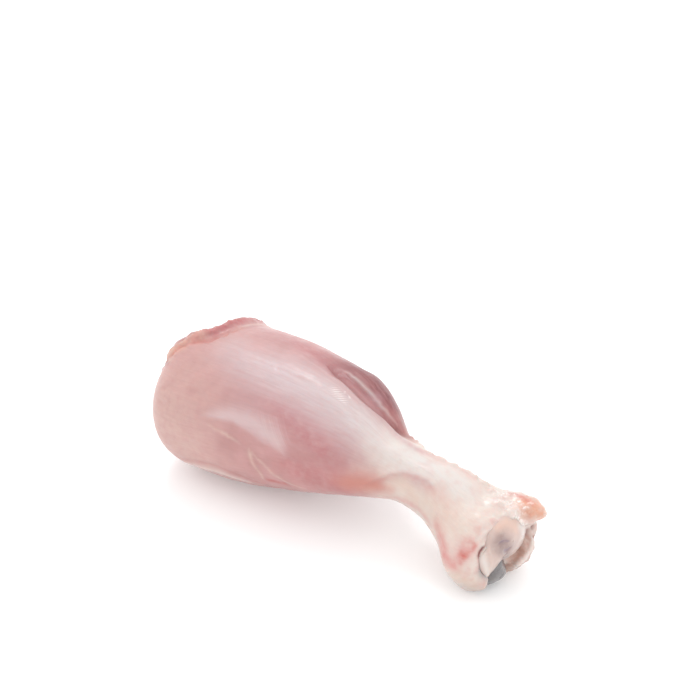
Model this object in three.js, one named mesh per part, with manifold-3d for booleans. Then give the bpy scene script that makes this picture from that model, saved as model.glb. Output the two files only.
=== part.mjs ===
// A raw, skinless chicken drumstick that lies on its belly and on its knuckle.
//
// Millimetres. +X runs along the leg from the knee to the ankle, +Z is up, and -Y is the side that
// shows the calf muscle. The origin is on the surface below the middle of the drumstick's box.
//
// Three solids make it. The meat is one body of muscles, tendons and thin membrane, cut off at the
// knee and left ragged at the ankle. The shin bone runs through it from end to end: its two upper
// knuckles show in the knee cut, and one of the lower two shows at the ankle's torn end. The
// gristle cap is the pad that covers the rest of those.

import * as THREE from "three";
import { mergeVertices } from "three/addons/utils/BufferGeometryUtils.js";
import Module from "manifold-3d";

const wasm = await Module();
wasm.setup();

// Driving dimensions.
const KNEE_END = 3; // where the knee dome starts along the leg
const KNEE_DOME = 12.5; // how far back from there the meat rounds over
const MEAT_LENGTH = 124.5; // where the meat is torn off at the ankle, on average
const CLEARANCE = 0.3; // gap left between solids that touch

// How finely the solids are faceted.
const MEAT_RINGS = 74;
const MEAT_SIDES = 48;
const BONE_RINGS = 22;
const BONE_SIDES = 12;
const LUMP_DETAIL = 3;

// ---------------------------------------------------------------------------------------------
// Small tools: smooth outlines, bumps, lofts and solids

const radians = THREE.MathUtils.degToRad;
const smooth = THREE.MathUtils.smoothstep;

// A smooth line through [x, value] points, read at any x.
function outline(points) {
  const slope = points.map((p, i) => {
    const before = points[Math.max(i - 1, 0)];
    const after = points[Math.min(i + 1, points.length - 1)];
    return (after[1] - before[1]) / (after[0] - before[0]);
  });
  return (x) => {
    let i = 0;
    while (i < points.length - 2 && x > points[i + 1][0]) i++;
    const [x0, v0] = points[i];
    const [x1, v1] = points[i + 1];
    const span = x1 - x0;
    const t = THREE.MathUtils.clamp((x - x0) / span, 0, 1);
    const start = (1 + 2 * t) * (1 - t) ** 2 * v0 + t * t * (3 - 2 * t) * v1;
    return start + span * (t * (1 - t) ** 2 * slope[i] - t * t * (1 - t) * slope[i + 1]);
  };
}

// 1 in the middle of a rounded bump, fading away over its reach.
const bump = (distance, reach) => Math.exp(-((distance / reach) ** 2));

// 1 between two places along the leg, fading in and out over a stretch at each end.
function between(x, from, to, fade) {
  return smooth(x, from - fade, from + fade) * (1 - smooth(x, to - fade, to + fade));
}

// The shorter way round from one angle to another, in degrees.
const turn = (angle, other) => THREE.MathUtils.euclideanModulo(angle - other + 180, 360) - 180;

// A closed skin over rings of points, with a point at each end.
function loft(first, rings, last) {
  const sides = rings[0].length;
  const points = [first, ...rings.flat(), last];
  const faces = [];
  const at = (ring, side) => 1 + ring * sides + (side % sides);
  for (let s = 0; s < sides; s++) {
    faces.push(0, at(0, s + 1), at(0, s));
    for (let r = 0; r < rings.length - 1; r++) {
      faces.push(at(r, s), at(r, s + 1), at(r + 1, s));
      faces.push(at(r, s + 1), at(r + 1, s + 1), at(r + 1, s));
    }
    faces.push(points.length - 1, at(rings.length - 1, s), at(rings.length - 1, s + 1));
  }
  return new THREE.BufferGeometry().setFromPoints(points).setIndex(faces);
}

// A closed geometry as a solid that can be joined and cut.
function solid(geometry) {
  const bare = geometry.clone();
  bare.deleteAttribute("normal");
  bare.deleteAttribute("uv");
  const merged = mergeVertices(bare, 1e-4);
  return new wasm.Manifold(
    new wasm.Mesh({
      numProp: 3,
      vertProperties: new Float32Array(merged.attributes.position.array),
      triVerts: new Uint32Array(merged.index.array),
    }),
  );
}

// A solid's triangles as a geometry.
function geometryOf(body) {
  const mesh = body.getMesh();
  return new THREE.BufferGeometry()
    .setAttribute("position", new THREE.BufferAttribute(mesh.vertProperties, 3))
    .setIndex(new THREE.BufferAttribute(mesh.triVerts, 1));
}

// A rounded lump of tissue: an ellipsoid of three half-sizes, turned about its middle in degrees.
function lump(centre, halfSizes, turned = [0, 0, 0]) {
  const ball = new THREE.IcosahedronGeometry(1, LUMP_DETAIL).scale(...halfSizes);
  ball.applyMatrix4(new THREE.Matrix4().makeRotationFromEuler(new THREE.Euler(...turned.map(radians))));
  return solid(ball.translate(...centre));
}

// A round bar along a line of places, with a radius for each share of the way; its ends are domed.
function bar(line, radiusAt, rings, sides) {
  const ringPoints = [];
  for (let r = 1; r < rings; r++) {
    const t = r / rings;
    const centre = line.getPoint(t);
    const ahead = line.getTangent(t);
    const across = new THREE.Vector3(0, 0, 1).cross(ahead).normalize();
    const over = ahead.clone().cross(across);
    ringPoints.push(
      Array.from({ length: sides }, (_, s) => {
        const a = (2 * Math.PI * s) / sides;
        return centre
          .clone()
          .addScaledVector(across, Math.sin(-a) * radiusAt(t))
          .addScaledVector(over, Math.cos(a) * radiusAt(t));
      }),
    );
  }
  return solid(loft(line.getPoint(0), ringPoints, line.getPoint(1)));
}

// ---------------------------------------------------------------------------------------------
// The knee cut: a slanting face that looks back, up and to the far side

const KNEE_CUT = {
  point: new THREE.Vector3(5, 5.7, 31.5),
  facing: new THREE.Vector3(-0.77, 0.25, 0.59).normalize(),
};
const LIP_RISE = 1.7; // the meat rolls out in a low lip round the cut
const LIP_BACK = 2.2; // how far inside the cut's plane the lip is highest
const LIP_REACH = 2;

// How far a place is in front of the knee cut; negative inside the meat.
const beyondKneeCut = (place) => place.clone().sub(KNEE_CUT.point).dot(KNEE_CUT.facing);

// ---------------------------------------------------------------------------------------------
// The shin bone: a slightly bowed shaft with two knuckles side by side at each end

const boneLine = new THREE.CatmullRomCurve3([
  new THREE.Vector3(11.5, 5.9, 32.4),
  new THREE.Vector3(34, 5.2, 28.2),
  new THREE.Vector3(66, 4.3, 25.8),
  new THREE.Vector3(92, 2.8, 21.4),
  new THREE.Vector3(108, 1.6, 15.4),
  new THREE.Vector3(116, 1.6, 11),
]);
const SHAFT_RADIUS = 4.4;
const shaftRadius = outline([
  [0, 8.5], [0.1, 7], [0.25, SHAFT_RADIUS], [0.5, SHAFT_RADIUS - 0.3], [0.8, SHAFT_RADIUS], [1, 6],
]);
const KNUCKLES = [
  { centre: [10.8, 2, 32.8], halfSizes: [6, 5.6, 7.6], turned: [20, 35, -15] },
  { centre: [11.2, 10.2, 33.6], halfSizes: [6, 5.6, 7.8], turned: [20, 35, -15] },
  { centre: [118.2, -1.4, 7.3], halfSizes: [7.4, 5.8, 7.2], turned: [0, 0, -8] },
  { centre: [117, 6.4, 9.6], halfSizes: [6.6, 5.4, 8], turned: [0, 0, 8] },
];

// The bone, larger all round by an allowance when it cuts its own tunnel through the meat.
function shinBone(allowance = 0) {
  const shaft = bar(boneLine, (t) => shaftRadius(t) + allowance, BONE_RINGS, BONE_SIDES);
  const ends = KNUCKLES.map(({ centre, halfSizes, turned }) =>
    lump(centre, halfSizes.map((half) => half + allowance), turned),
  );
  return ends.reduce((bone, end) => bone.add(end), shaft);
}

// ---------------------------------------------------------------------------------------------
// The gristle cap: an egg-shaped pad across the ankle's end, drawn out to a point below

const CAP_DOME = { centre: [123.2, 2.9, 15.9], halfSizes: [4, 9.4, 7.2], turned: [-20, 0, 0] };
const CAP_TAPER = {
  line: new THREE.LineCurve3(new THREE.Vector3(122.2, -4.2, 16.4), new THREE.Vector3(124, -6.8, 8.4)),
  radius: outline([[0, 3.6], [0.25, 4.7], [0.6, 3.2], [1, 0.8]]),
};
const CAP_RINGS = 10;

function gristleCap(allowance = 0) {
  const taper = bar(CAP_TAPER.line, (t) => CAP_TAPER.radius(t) + allowance, CAP_RINGS, BONE_SIDES);
  const halfSizes = CAP_DOME.halfSizes.map((half) => half + allowance);
  return taper.add(lump(CAP_DOME.centre, halfSizes, CAP_DOME.turned));
}

// ---------------------------------------------------------------------------------------------
// The meat: a loft between four outlines, with the muscles and tendons as relief on it

// Side view: height of the upper and lower edge along the leg.
const topEdge = outline([
  [0, 43], [13, 45], [27, 46.2], [43, 46.4], [59, 44], [67, 42.2], [75, 38.2], [83, 33.8],
  [89, 32.3], [95, 30.7], [101, 30], [107, 28.9], [113, 27], [119, 25.9], [128, 24.8],
]);
const bottomEdge = outline([
  [0, 3], [13, 0.4], [19, -0.5], [35, -0.3], [43, 0.8], [59, 5.2], [67, 8], [75, 11], [83, 12.9],
  [89, 13.3], [95, 11.8], [101, 9.3], [107, 5.6], [113, 1.8], [119, -0.4], [128, 0.5],
]);
// Plan view: how far it reaches sideways, towards -Y and towards +Y.
const frontEdge = outline([
  [0, -20.5], [13, -23.2], [19, -24], [35, -22.4], [51, -19.5], [67, -16.4], [75, -13.7], [83, -9.2],
  [89, -7], [95, -6.4], [101, -6.8], [107, -8.2], [113, -12.2], [119, -14.8], [128, -12],
]);
const backEdge = outline([
  [0, 25], [13, 26.6], [27, 27.5], [43, 27.8], [59, 25.6], [67, 24.2], [75, 19.8], [83, 13.4],
  [89, 11.8], [95, 11.3], [101, 12.5], [107, 14.3], [113, 16.6], [119, 17.7], [128, 15],
]);

// Ridges and furrows that run along the leg. Each follows an angle from the top, in degrees and
// positive towards -Y, and has a rise in mm and a spread to each side in degrees.
const FOLDS = [
  // The white tendon sheet, which narrows to a cord towards the ankle.
  {
    rise: 1.2, spread: 15, from: 50, to: 104, fade: 14,
    path: [[31, -4], [47, 6], [63, 15], [81, 24], [92, 28], [108, 14]],
  },
  // The furrow between the tendon sheet and the muscle behind it, and that muscle's crown.
  {
    rise: -2.4, spread: 9, from: 52, to: 88, fade: 9,
    path: [[45, -18], [57, -14], [70, -15], [83, -32], [92, -42]],
  },
  { rise: 1, spread: 20, from: 54, to: 78, fade: 10, path: [[45, -46], [70, -44], [83, -62]] },
  // The calf muscle, and the valley between it and the muscle below.
  { rise: 0.7, spread: 20, from: 48, to: 78, fade: 10, path: [[40, 52], [82, 62]] },
  { rise: -0.8, spread: 11, from: 36, to: 70, fade: 12, path: [[30, 84], [45, 86], [58, 90], [75, 104]] },
  // The far side: a seam between its two muscles, and one underneath.
  { rise: -1.8, spread: 9, from: 14, to: 80, fade: 10, path: [[8, -98], [40, -116], [70, -124], [90, -110]] },
  { rise: -1.2, spread: 12, from: 52, to: 86, fade: 10, path: [[45, 165], [90, 172]] },
  // The groove between the ankle's two knuckles, above and below.
  { rise: -1.1, spread: 22, from: 112, to: 126, fade: 6, path: [[105, 4], [124, -4]] },
  { rise: -1.6, spread: 18, from: 112, to: 126, fade: 6, path: [[105, 176], [124, 184]] },
].map((fold) => ({ ...fold, angleAt: outline(fold.path) }));

// The calf ends in a shelf over the lower tendons of the shin.
const SHELF_DROP = 1.3;
const SHELF_SOFTNESS = 8; // degrees
const shelfAngle = outline([[82, 100], [85, 88], [90, 60], [97, 38], [105, 31]]);

// The skin's rise above the plain loft, at a place along the leg and an angle from the top.
function relief(x, angle) {
  const folds = FOLDS.map(({ rise, spread, from, to, fade, angleAt }) => {
    return rise * bump(turn(angle, angleAt(x)), spread) * between(x, from, to, fade);
  });
  const underShelf = turn(angle, shelfAngle(x));
  const shelf =
    SHELF_DROP *
    smooth(underShelf, -SHELF_SOFTNESS, SHELF_SOFTNESS) *
    (1 - smooth(Math.abs(turn(angle, 100)), 30, 75)) *
    between(x, 86, 103, 5);
  return folds.reduce((sum, fold) => sum + fold, 0) - shelf;
}

const DOME_FULLNESS = 2.1; // 2 is a plain ellipsoid, more is squarer

// The knee end is domed: the share of the full section that is left at each place.
function domeShare(x) {
  const inside = Math.max(KNEE_END + KNEE_DOME - x, 0) / KNEE_DOME;
  return Math.max(1 - inside ** DOME_FULLNESS, 0) ** (1 / DOME_FULLNESS);
}

// The ankle end is torn: it reaches further on the upper far side, and waves run round its edge.
const TORN_EDGE = [
  { reach: 2.6, at: -45, spread: 55 },
  { reach: 1.4, at: -130, spread: 35 },
  { reach: -2.2, at: 160, spread: 22 },
];
const TORN_WAVES = { height: 0.5, count: 7, start: 10 };
const TORN_STRETCH = 18; // length of leg that stretches or shrinks to follow the torn end
// Tissue wraps the end round in front: the rim there lies back from the middle of the end.
const WRAP = { depth: 3.6, at: 65, flatShare: 0.6 };

// How far the skin is moved along the leg near the torn end; a share below 1 is inside its rim.
function tornShift(x, angle, share) {
  const reaches = TORN_EDGE.map(({ reach, at, spread }) => reach * bump(turn(angle, at), spread));
  const wave = TORN_WAVES.height * Math.sin(radians(TORN_WAVES.count * angle + TORN_WAVES.start));
  const reach = reaches.reduce((sum, each) => sum + each, wave);
  const nearRim = Math.max(share - WRAP.flatShare, 0) / (1 - WRAP.flatShare);
  const wrapped = WRAP.depth * (0.5 + 0.5 * Math.cos(radians(angle - WRAP.at))) * nearRim ** 2;
  return (reach * share - wrapped) * smooth(x, MEAT_LENGTH - TORN_STRETCH, MEAT_LENGTH);
}

// The point of the meat's skin at a place along the leg and an angle from the top, in degrees,
// drawn in towards the leg's middle by a share of its size.
function skinPoint(x, angle, share = 1) {
  const size = share * domeShare(x);
  const top = topEdge(x);
  const bottom = bottomEdge(x);
  const front = frontEdge(x);
  const back = backEdge(x);
  const a = radians(angle);
  const lift = relief(x, angle);
  const y = (front + back) / 2 - Math.sin(a) * ((back - front) / 2 + lift) * size;
  const z = (top + bottom) / 2 + Math.cos(a) * ((top - bottom) / 2 + lift) * size;
  const place = new THREE.Vector3(x + tornShift(x, angle, share), y, z);
  const lip = LIP_RISE * bump(beyondKneeCut(place) + LIP_BACK, LIP_REACH);
  place.y -= Math.sin(a) * lip;
  place.z = Math.max(place.z + Math.cos(a) * lip, 0);
  return place;
}

// The torn face at the ankle: rings that are smaller shares of the leg's section.
const TORN_FACE = [0.95, 0.88, 0.78, 0.6, 0.3];

function meatLoft() {
  const angles = Array.from({ length: MEAT_SIDES }, (_, i) => (360 * i) / MEAT_SIDES);
  const ring = (x, share = 1) => angles.map((angle) => skinPoint(x, angle, share));
  const span = MEAT_LENGTH - KNEE_END;
  const sides = Array.from({ length: MEAT_RINGS }, (_, i) => {
    const t = (i + 1) / MEAT_RINGS;
    const crowded = t - (0.11 * Math.sin(2 * Math.PI * t)) / 2;
    return ring(KNEE_END + span * crowded);
  });
  const tornFace = TORN_FACE.map((share) => ring(MEAT_LENGTH, share));
  return solid(loft(skinPoint(KNEE_END, 0), [...sides, ...tornFace], skinPoint(MEAT_LENGTH, 0, 0)));
}

// What stands out of the ankle's torn end: a round pad in front, beside the bone, and rags that are
// bars thinning to a tip, a lobe of fat above and a shred of meat below.
const PAD = { centre: [118.4, -6.6, 7.6], halfSizes: [6, 5.4, 6.8] };
const RAGS = [
  { thick: 4.6, tip: 0.9, path: [[110, 9, 19.1], [121, 11, 20], [132, 11.9, 22.4]] },
  { thick: 3.6, tip: 1.3, path: [[117, 13.4, 12.4], [124, 11.2, 8.4], [126.2, 6.6, 4.6]] },
];
const RAG_RINGS = 12;

function rag({ thick, tip, path }) {
  const line = new THREE.CatmullRomCurve3(path.map((place) => new THREE.Vector3(...place)));
  const radius = outline([[0, thick / 2], [0.3, thick * 0.95], [0.6, thick], [0.85, thick * 0.6], [1, tip]]);
  return bar(line, radius, RAG_RINGS, BONE_SIDES);
}

// The cut face, in places across and up it: each muscle's end domes out, with valleys between.
const MUSCLE_ENDS = [
  { across: -14, up: 4, reach: 8.5, rise: 2.6 },
  { across: -8, up: -13, reach: 8, rise: 2.2 },
  { across: 9, up: -13, reach: 8.5, rise: 2.8 },
  { across: 15, up: 3, reach: 8, rise: 2.3 },
  { across: 3, up: 14, reach: 8, rise: 2.4 },
];
const CUT_SINK = 2.6; // how deep the valleys between the muscle ends lie
const CUTTER = { reach: 64, cells: 34, depth: 40 };

// How far the cut face stands out of its plane at a place across and up it.
function cutFace(across, up) {
  const rises = MUSCLE_ENDS.map((end) => {
    return end.rise * bump(Math.hypot(across - end.across, up - end.up), end.reach);
  });
  return Math.max(...rises) - CUT_SINK;
}

// The block that takes the end of the meat off: its underside is the cut face's own relief.
function kneeCutter() {
  const { reach, cells, depth } = CUTTER;
  const block = new THREE.BoxGeometry(reach, reach, depth, cells, cells, 1).translate(0, 0, depth / 2);
  const place = block.attributes.position;
  for (let i = 0; i < place.count; i++) {
    const underside = place.getZ(i) < depth / 2;
    if (underside) place.setZ(i, cutFace(place.getX(i), place.getY(i)));
  }
  const turned = new THREE.Quaternion().setFromUnitVectors(new THREE.Vector3(0, 0, 1), KNEE_CUT.facing);
  return solid(block.applyQuaternion(turned).translate(...KNEE_CUT.point.toArray()));
}

function meat() {
  return RAGS.reduce((body, shape) => body.add(rag(shape)), meatLoft())
    .add(lump(PAD.centre, PAD.halfSizes))
    .subtract(kneeCutter())
    .subtract(shinBone(CLEARANCE))
    .subtract(gristleCap(CLEARANCE));
}

// ---------------------------------------------------------------------------------------------
// Group

const group = new THREE.Group();

function add(name, body, colour, roughness) {
  const material = new THREE.MeshStandardMaterial({ color: colour, roughness, metalness: 0 });
  const mesh = new THREE.Mesh(geometryOf(body), material);
  mesh.name = name;
  group.add(mesh);
}

add("meat", meat(), "#dba9a0", 0.4);
add("shin_bone", shinBone(), "#c9c6cf", 0.35);
add("gristle_cap", gristleCap().subtract(shinBone(CLEARANCE)), "#efe6e0", 0.35);

const box = new THREE.Box3().setFromObject(group);
group.position.set(-(box.min.x + box.max.x) / 2, -(box.min.y + box.max.y) / 2, -box.min.z);

export default group;
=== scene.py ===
"""A raw, skinless chicken drumstick lying on a white table.

It is put together as a leg is, from the inside out: the shin bone, the meat that grows round it,
and the gristle cap on the ankle. Each piece starts as a finer copy of its solid in the CAD part and
is then sculpted and painted by rule. Lengths in the tables below are in millimetres: x runs along
the leg from the knee to the ankle, and an angle goes round it from the top, positive towards -Y.
"""

import math

import bmesh
import bpy
import numpy as np
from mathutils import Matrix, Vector, noise
from mathutils.kdtree import KDTree


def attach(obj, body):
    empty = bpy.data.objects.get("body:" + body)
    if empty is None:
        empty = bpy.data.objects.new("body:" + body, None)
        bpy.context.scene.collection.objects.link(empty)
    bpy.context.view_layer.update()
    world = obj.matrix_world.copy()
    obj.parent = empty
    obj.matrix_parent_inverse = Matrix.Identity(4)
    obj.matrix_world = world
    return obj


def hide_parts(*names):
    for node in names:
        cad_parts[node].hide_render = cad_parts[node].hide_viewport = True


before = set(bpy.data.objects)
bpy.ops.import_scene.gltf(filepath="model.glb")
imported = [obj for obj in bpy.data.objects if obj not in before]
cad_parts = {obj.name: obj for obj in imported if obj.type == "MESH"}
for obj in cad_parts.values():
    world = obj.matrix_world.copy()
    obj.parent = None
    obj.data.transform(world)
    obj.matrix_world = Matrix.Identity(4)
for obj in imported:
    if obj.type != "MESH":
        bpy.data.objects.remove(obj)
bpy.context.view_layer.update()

# ------------------------------------------------------------------------------------------------
# Shin bone
#
# The core of the leg: a bowed tube of bone with two knuckles side by side at each end. Smooth
# blue-grey cartilage sheathes the knuckles, and the meat and its tendons grow onto the shaft.

MM = 0.001
LEG_START = np.array([-67.5, -1.96, 0.0])  # where the leg's own measure starts in the frame

# The leg's middle line and its half-thickness, read at any x.
MIDDLE_X = [0, 19, 43, 59, 75, 89, 101, 113, 119, 128]
MIDDLE_Y = [1.5, 1.4, 3.4, 3.7, 3.7, 2.7, 3.4, 2, 1.9, 2.5]
MIDDLE_Z = [22.5, 22.4, 23.8, 25, 25.3, 23.2, 20.8, 15.3, 13.6, 13]
HALF_X = [0, 19, 43, 59, 75, 83, 89, 101, 113, 119, 128]
HALF = [21, 24, 23.5, 20.5, 15.5, 11, 9.4, 10, 12.8, 15, 14]


def ramp(value, start, end):
    """Smoothly from 0 at the start to 1 at the end."""
    t = np.clip((value - start) / (end - start), 0, 1)
    return t * t * (3 - 2 * t)


def layered(*amounts):
    """Several amounts from 0 to 1 laid over each other."""
    clear = 1.0
    for amount in amounts:
        clear = clear * (1 - np.clip(amount, 0, 1))
    return 1 - clear


def drop_bubbles(data):
    """Leaves only the largest closed surface of a mesh; a remeshing can leave specks inside it."""
    mesh = bmesh.new()
    mesh.from_mesh(data)
    unseen = set(mesh.verts)
    surfaces = []
    while unseen:
        surface = [unseen.pop()]
        for vertex in surface:
            for edge in vertex.link_edges:
                other = edge.other_vert(vertex)
                if other in unseen:
                    unseen.remove(other)
                    surface.append(other)
        surfaces.append(surface)
    for speck in sorted(surfaces, key=len)[:-1]:
        bmesh.ops.delete(mesh, geom=speck, context="VERTS")
    mesh.to_mesh(data)
    mesh.free()


class Skin:
    """The surface of a piece, with rules for moving and painting its vertices.

    A station is [x, angle] on the outer side or [x, y, z], both taken to the nearest vertex.
    """

    def __init__(self, node, name, cell, rounds, swell=0.0):
        """A CAD node's mesh in cells of that size in mm, softened for that many rounds.

        Swelling it between two remeshings fills the notches where its rounded forms meet.
        """
        piece = bpy.data.objects.new(name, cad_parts[node].data.copy())
        bpy.context.scene.collection.objects.link(piece)
        for outward in (swell, 0.0) if swell else (0.0,):
            cells = piece.modifiers.new("cells", "REMESH")
            cells.mode = "VOXEL"
            cells.voxel_size = cell * MM
            soften = piece.modifiers.new("soften", "SMOOTH")
            soften.iterations = rounds
            if outward:
                grow = piece.modifiers.new("grow", "DISPLACE")
                grow.mid_level = 0
                grow.strength = outward * MM
        seen = piece.evaluated_get(bpy.context.evaluated_depsgraph_get())
        piece.data = bpy.data.meshes.new_from_object(seen)
        drop_bubbles(piece.data)
        piece.modifiers.clear()
        piece.data.materials.clear()
        piece.data.shade_smooth()
        self.piece = piece
        self.relief = 0.0
        self.tints = {}
        self.measure()

    def measure(self):
        """Reads the vertices, in leg mm, and where each lies along and round the leg."""
        rows = np.empty(len(self.piece.data.vertices) * 3)
        self.piece.data.vertices.foreach_get("co", rows)
        self.place = rows.reshape(-1, 3) / MM - LEG_START
        self.x, y, z = self.place.T
        self.across = y - np.interp(self.x, MIDDLE_X, MIDDLE_Y)
        self.up = z - np.interp(self.x, MIDDLE_X, MIDDLE_Z)
        self.angle = np.degrees(np.arctan2(-self.across, self.up))
        self.half = np.interp(self.x, HALF_X, HALF)
        rows = np.empty(len(self.piece.data.vertices) * 3)
        self.piece.data.vertex_normals.foreach_get("vector", rows)
        self.normal = rows.reshape(-1, 3)

    def turned(self, angle):
        """How far round each vertex is from an angle, in degrees."""
        return (self.angle - angle + 180) % 360 - 180

    def nearest(self, station):
        """The vertex nearest to a station; one on the outer side is taken where there is one."""
        if len(station) == 3:
            return self.place[np.argmin(((self.place - np.array(station)) ** 2).sum(1))]
        along, angle = station
        round_it = np.radians(self.turned(angle)) * self.half
        inside = np.hypot(self.across, self.up) < 0.6 * self.half
        held_back = 1000 * inside
        return self.place[np.argmin((self.x - along) ** 2 + round_it**2 + held_back)]

    def line(self, stations, spacing=1.0):
        """A smooth line over the surface through the stations, in steps of about that many mm."""
        p = np.array([self.nearest(station) for station in stations])
        p = np.vstack([2 * p[0] - p[1], p, 2 * p[-1] - p[-2]])
        curve = []
        for before, here, there, after in zip(p, p[1:], p[2:], p[3:]):
            steps = max(int(np.linalg.norm(there - here) / spacing), 1)
            for t in np.arange(steps) / steps:
                bend = (2 * before - 5 * here + 4 * there - after) * t**2
                twist = (3 * here - before - 3 * there + after) * t**3
                curve.append(here + ((there - before) * t + bend + twist) / 2)
        curve.append(p[-2])
        return np.array([self.nearest(c) for c in curve])

    def stroke(self, stations, width, taper=0.0):
        """1 on a line, fading over that width in mm; taper narrows and fades it at its ends."""
        line = self.line(stations, spacing=max(1.0, width / 2))
        margin = 3 * width
        nearby = ((self.place > line.min(0) - margin) & (self.place < line.max(0) + margin)).all(1)
        place = self.place[nearby]
        gap = np.full(len(place), np.inf)
        share = np.zeros(len(place))
        for i, (a, b) in enumerate(zip(line, line[1:])):
            along = b - a
            t = np.clip((place - a) @ along / max(along @ along, 1e-9), 0, 1)
            apart = ((place - a - t[:, None] * along) ** 2).sum(1)
            closer = apart < gap
            gap[closer] = apart[closer]
            share[closer] = (i + t[closer]) / (len(line) - 1)
        to_end = (2 * share - 1) ** 2
        narrowed = width * (1 - 0.7 * taper * to_end)
        amount = np.zeros(len(self.place))
        amount[nearby] = np.exp(-gap / narrowed**2) * (1 - taper * to_end**2)
        return amount

    def spot(self, station, width):
        """1 at a station, fading over that width in mm."""
        return np.exp(-((self.place - self.nearest(station)) ** 2).sum(1) / width**2)

    def facing(self, angle, spread):
        """1 on the side that faces an angle, fading over that spread in degrees."""
        return np.exp(-((self.turned(angle) / spread) ** 2))

    def noise(self, size, seed, octaves=2):
        """Smooth noise between about -1 and 1, with features of that size in mm."""
        shift = Vector((17.3 * seed, 5.1 * seed, 11.7 * seed))
        places = (Vector(p) / size + shift for p in self.place)
        return np.array([noise.fractal(p, 1.0, 2.0, octaves) for p in places])

    def thin_out(self, hidden, kept=1 / 8):
        """Leaves only that share of the faces where the surface is hidden."""
        group = self.piece.vertex_groups.new(name="hidden")
        group.add(np.flatnonzero(hidden).tolist(), 1.0, "REPLACE")
        fewer = self.piece.modifiers.new("fewer", "DECIMATE")
        fewer.vertex_group = "hidden"
        fewer.ratio = 1 - (1 - kept) * hidden.mean()
        seen = self.piece.evaluated_get(bpy.context.evaluated_depsgraph_get())
        self.piece.data = bpy.data.meshes.new_from_object(seen)
        self.piece.modifiers.clear()
        self.piece.vertex_groups.clear()
        self.measure()

    def reach(self, other):
        """The nearest place on another skin from every vertex, and how far off it is."""
        tree = KDTree(len(other.place))
        for i, spot in enumerate(other.place):
            tree.insert(spot, i)
        tree.balance()
        found = [tree.find(spot) for spot in self.place]
        return other.place[[i for _, i, _ in found]], np.array([gap for _, _, gap in found])

    def tint(self, name, *amounts):
        """Lays a tissue over the skin, on top of what is already laid of it."""
        self.tints[name] = layered(self.tints.get(name, 0.0), *amounts)

    def move(self, shift):
        """Moves every vertex by its own shift in mm."""
        moved = (self.place + shift + LEG_START) * MM
        self.piece.data.vertices.foreach_set("co", moved.ravel())
        self.piece.data.update()
        self.measure()

    def finish(self):
        """Moves every vertex out by the relief and stores the tints for the material to read."""
        self.move(self.normal * self.relief[:, None])
        for name, amount in self.tints.items():
            stored = self.piece.data.attributes.new(name, "FLOAT", "POINT")
            stored.data.foreach_set("value", np.clip(amount, 0, 1))


def colour(code):
    """A colour such as #d9a8a4 as the linear value that a shader takes."""
    parts = [int(code[i : i + 2], 16) / 255 for i in (1, 3, 5)]
    return tuple(((p + 0.055) / 1.055) ** 2.4 if p > 0.04045 else p / 12.92 for p in parts) + (1,)


def add_node(tree, kind, inputs, **settings):
    """A shader node with its settings made and its inputs set, or linked where one is a socket."""
    made = tree.nodes.new("ShaderNode" + kind)
    for name, value in settings.items():
        setattr(made, name, value)
    for name, value in inputs.items():
        if isinstance(value, bpy.types.NodeSocket):
            tree.links.new(value, made.inputs[name])
        else:
            made.inputs[name].default_value = value
    return made


def calculate(tree, operation, a, b, clamp=False):
    """A value worked out from two others."""
    return add_node(tree, "Math", {0: a, 1: b}, operation=operation, use_clamp=clamp).outputs[0]


def mixed(tree, factor, a, b, blend="MIX"):
    """Colour a turned into colour b by the factor."""
    mix = add_node(tree, "Mix", {0: factor, 6: a, 7: b}, data_type="RGBA", blend_type=blend)
    return mix.outputs[2]


def effect(name, inputs, output):
    """An empty node group with named sockets: the group, what comes in and what goes out."""
    group = bpy.data.node_groups.new(name, "ShaderNodeTree")
    for socket, value in inputs.items():
        kind = "NodeSocketVector" if value is None else "NodeSocketFloat"
        made = group.interface.new_socket(socket, in_out="INPUT", socket_type=kind)
        if value is not None:
            made.default_value = value
    group.interface.new_socket(output, in_out="OUTPUT", socket_type="NodeSocketFloat")
    into = group.nodes.new("NodeGroupInput").outputs
    out = group.nodes.new("NodeGroupOutput").inputs
    return group, into, out


def patchy_noise(name, output, middle, detail):
    """A group for noise of a Size in mm, drawn apart by its Contrast about a middle value."""
    given = {"Place": None, "Size": 5.0, "Contrast": 2.0, "Middle": middle}
    group, into, out = effect(name, given, output)
    scale = calculate(group, "DIVIDE", 1.0, into["Size"])
    cloud = add_node(group, "TexNoise", {"Vector": into["Place"], "Scale": scale, "Detail": detail})
    centred = calculate(group, "SUBTRACT", cloud.outputs[0], 0.5)
    spread = calculate(group, "MULTIPLY", centred, into["Contrast"])
    result = calculate(group, "ADD", spread, into["Middle"], clamp=True)
    group.links.new(result, out[output])
    return group


MOTTLE = patchy_noise("mottle", "Amount", middle=0.5, detail=3.0)
WET_FILM = patchy_noise("wet film", "Roughness", middle=0.4, detail=5.0)


def grouped(tree, group, inputs):
    """The first output of a node group, with its inputs set or linked."""
    used = add_node(tree, "Group", {}, node_tree=group)
    for name, value in inputs.items():
        if isinstance(value, bpy.types.NodeSocket):
            tree.links.new(value, used.inputs[name])
        else:
            used.inputs[name].default_value = value
    return used.outputs[0]


def start_material(name):
    """A node material: itself, its tree, its Principled shader and places over it in mm."""
    material = bpy.data.materials.new(name)
    material.use_nodes = True
    tree = material.node_tree
    place = add_node(tree, "TexCoord", {}).outputs["Object"]
    in_mm = add_node(tree, "VectorMath", {0: place, "Scale": 1 / MM}, operation="SCALE")
    return material, tree, tree.nodes["Principled BSDF"], in_mm.outputs[0]


def amount_of(tree, name):
    """How much of something was painted on, from 0 to 1."""
    return add_node(tree, "Attribute", {}, attribute_name=name).outputs["Fac"]


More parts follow.
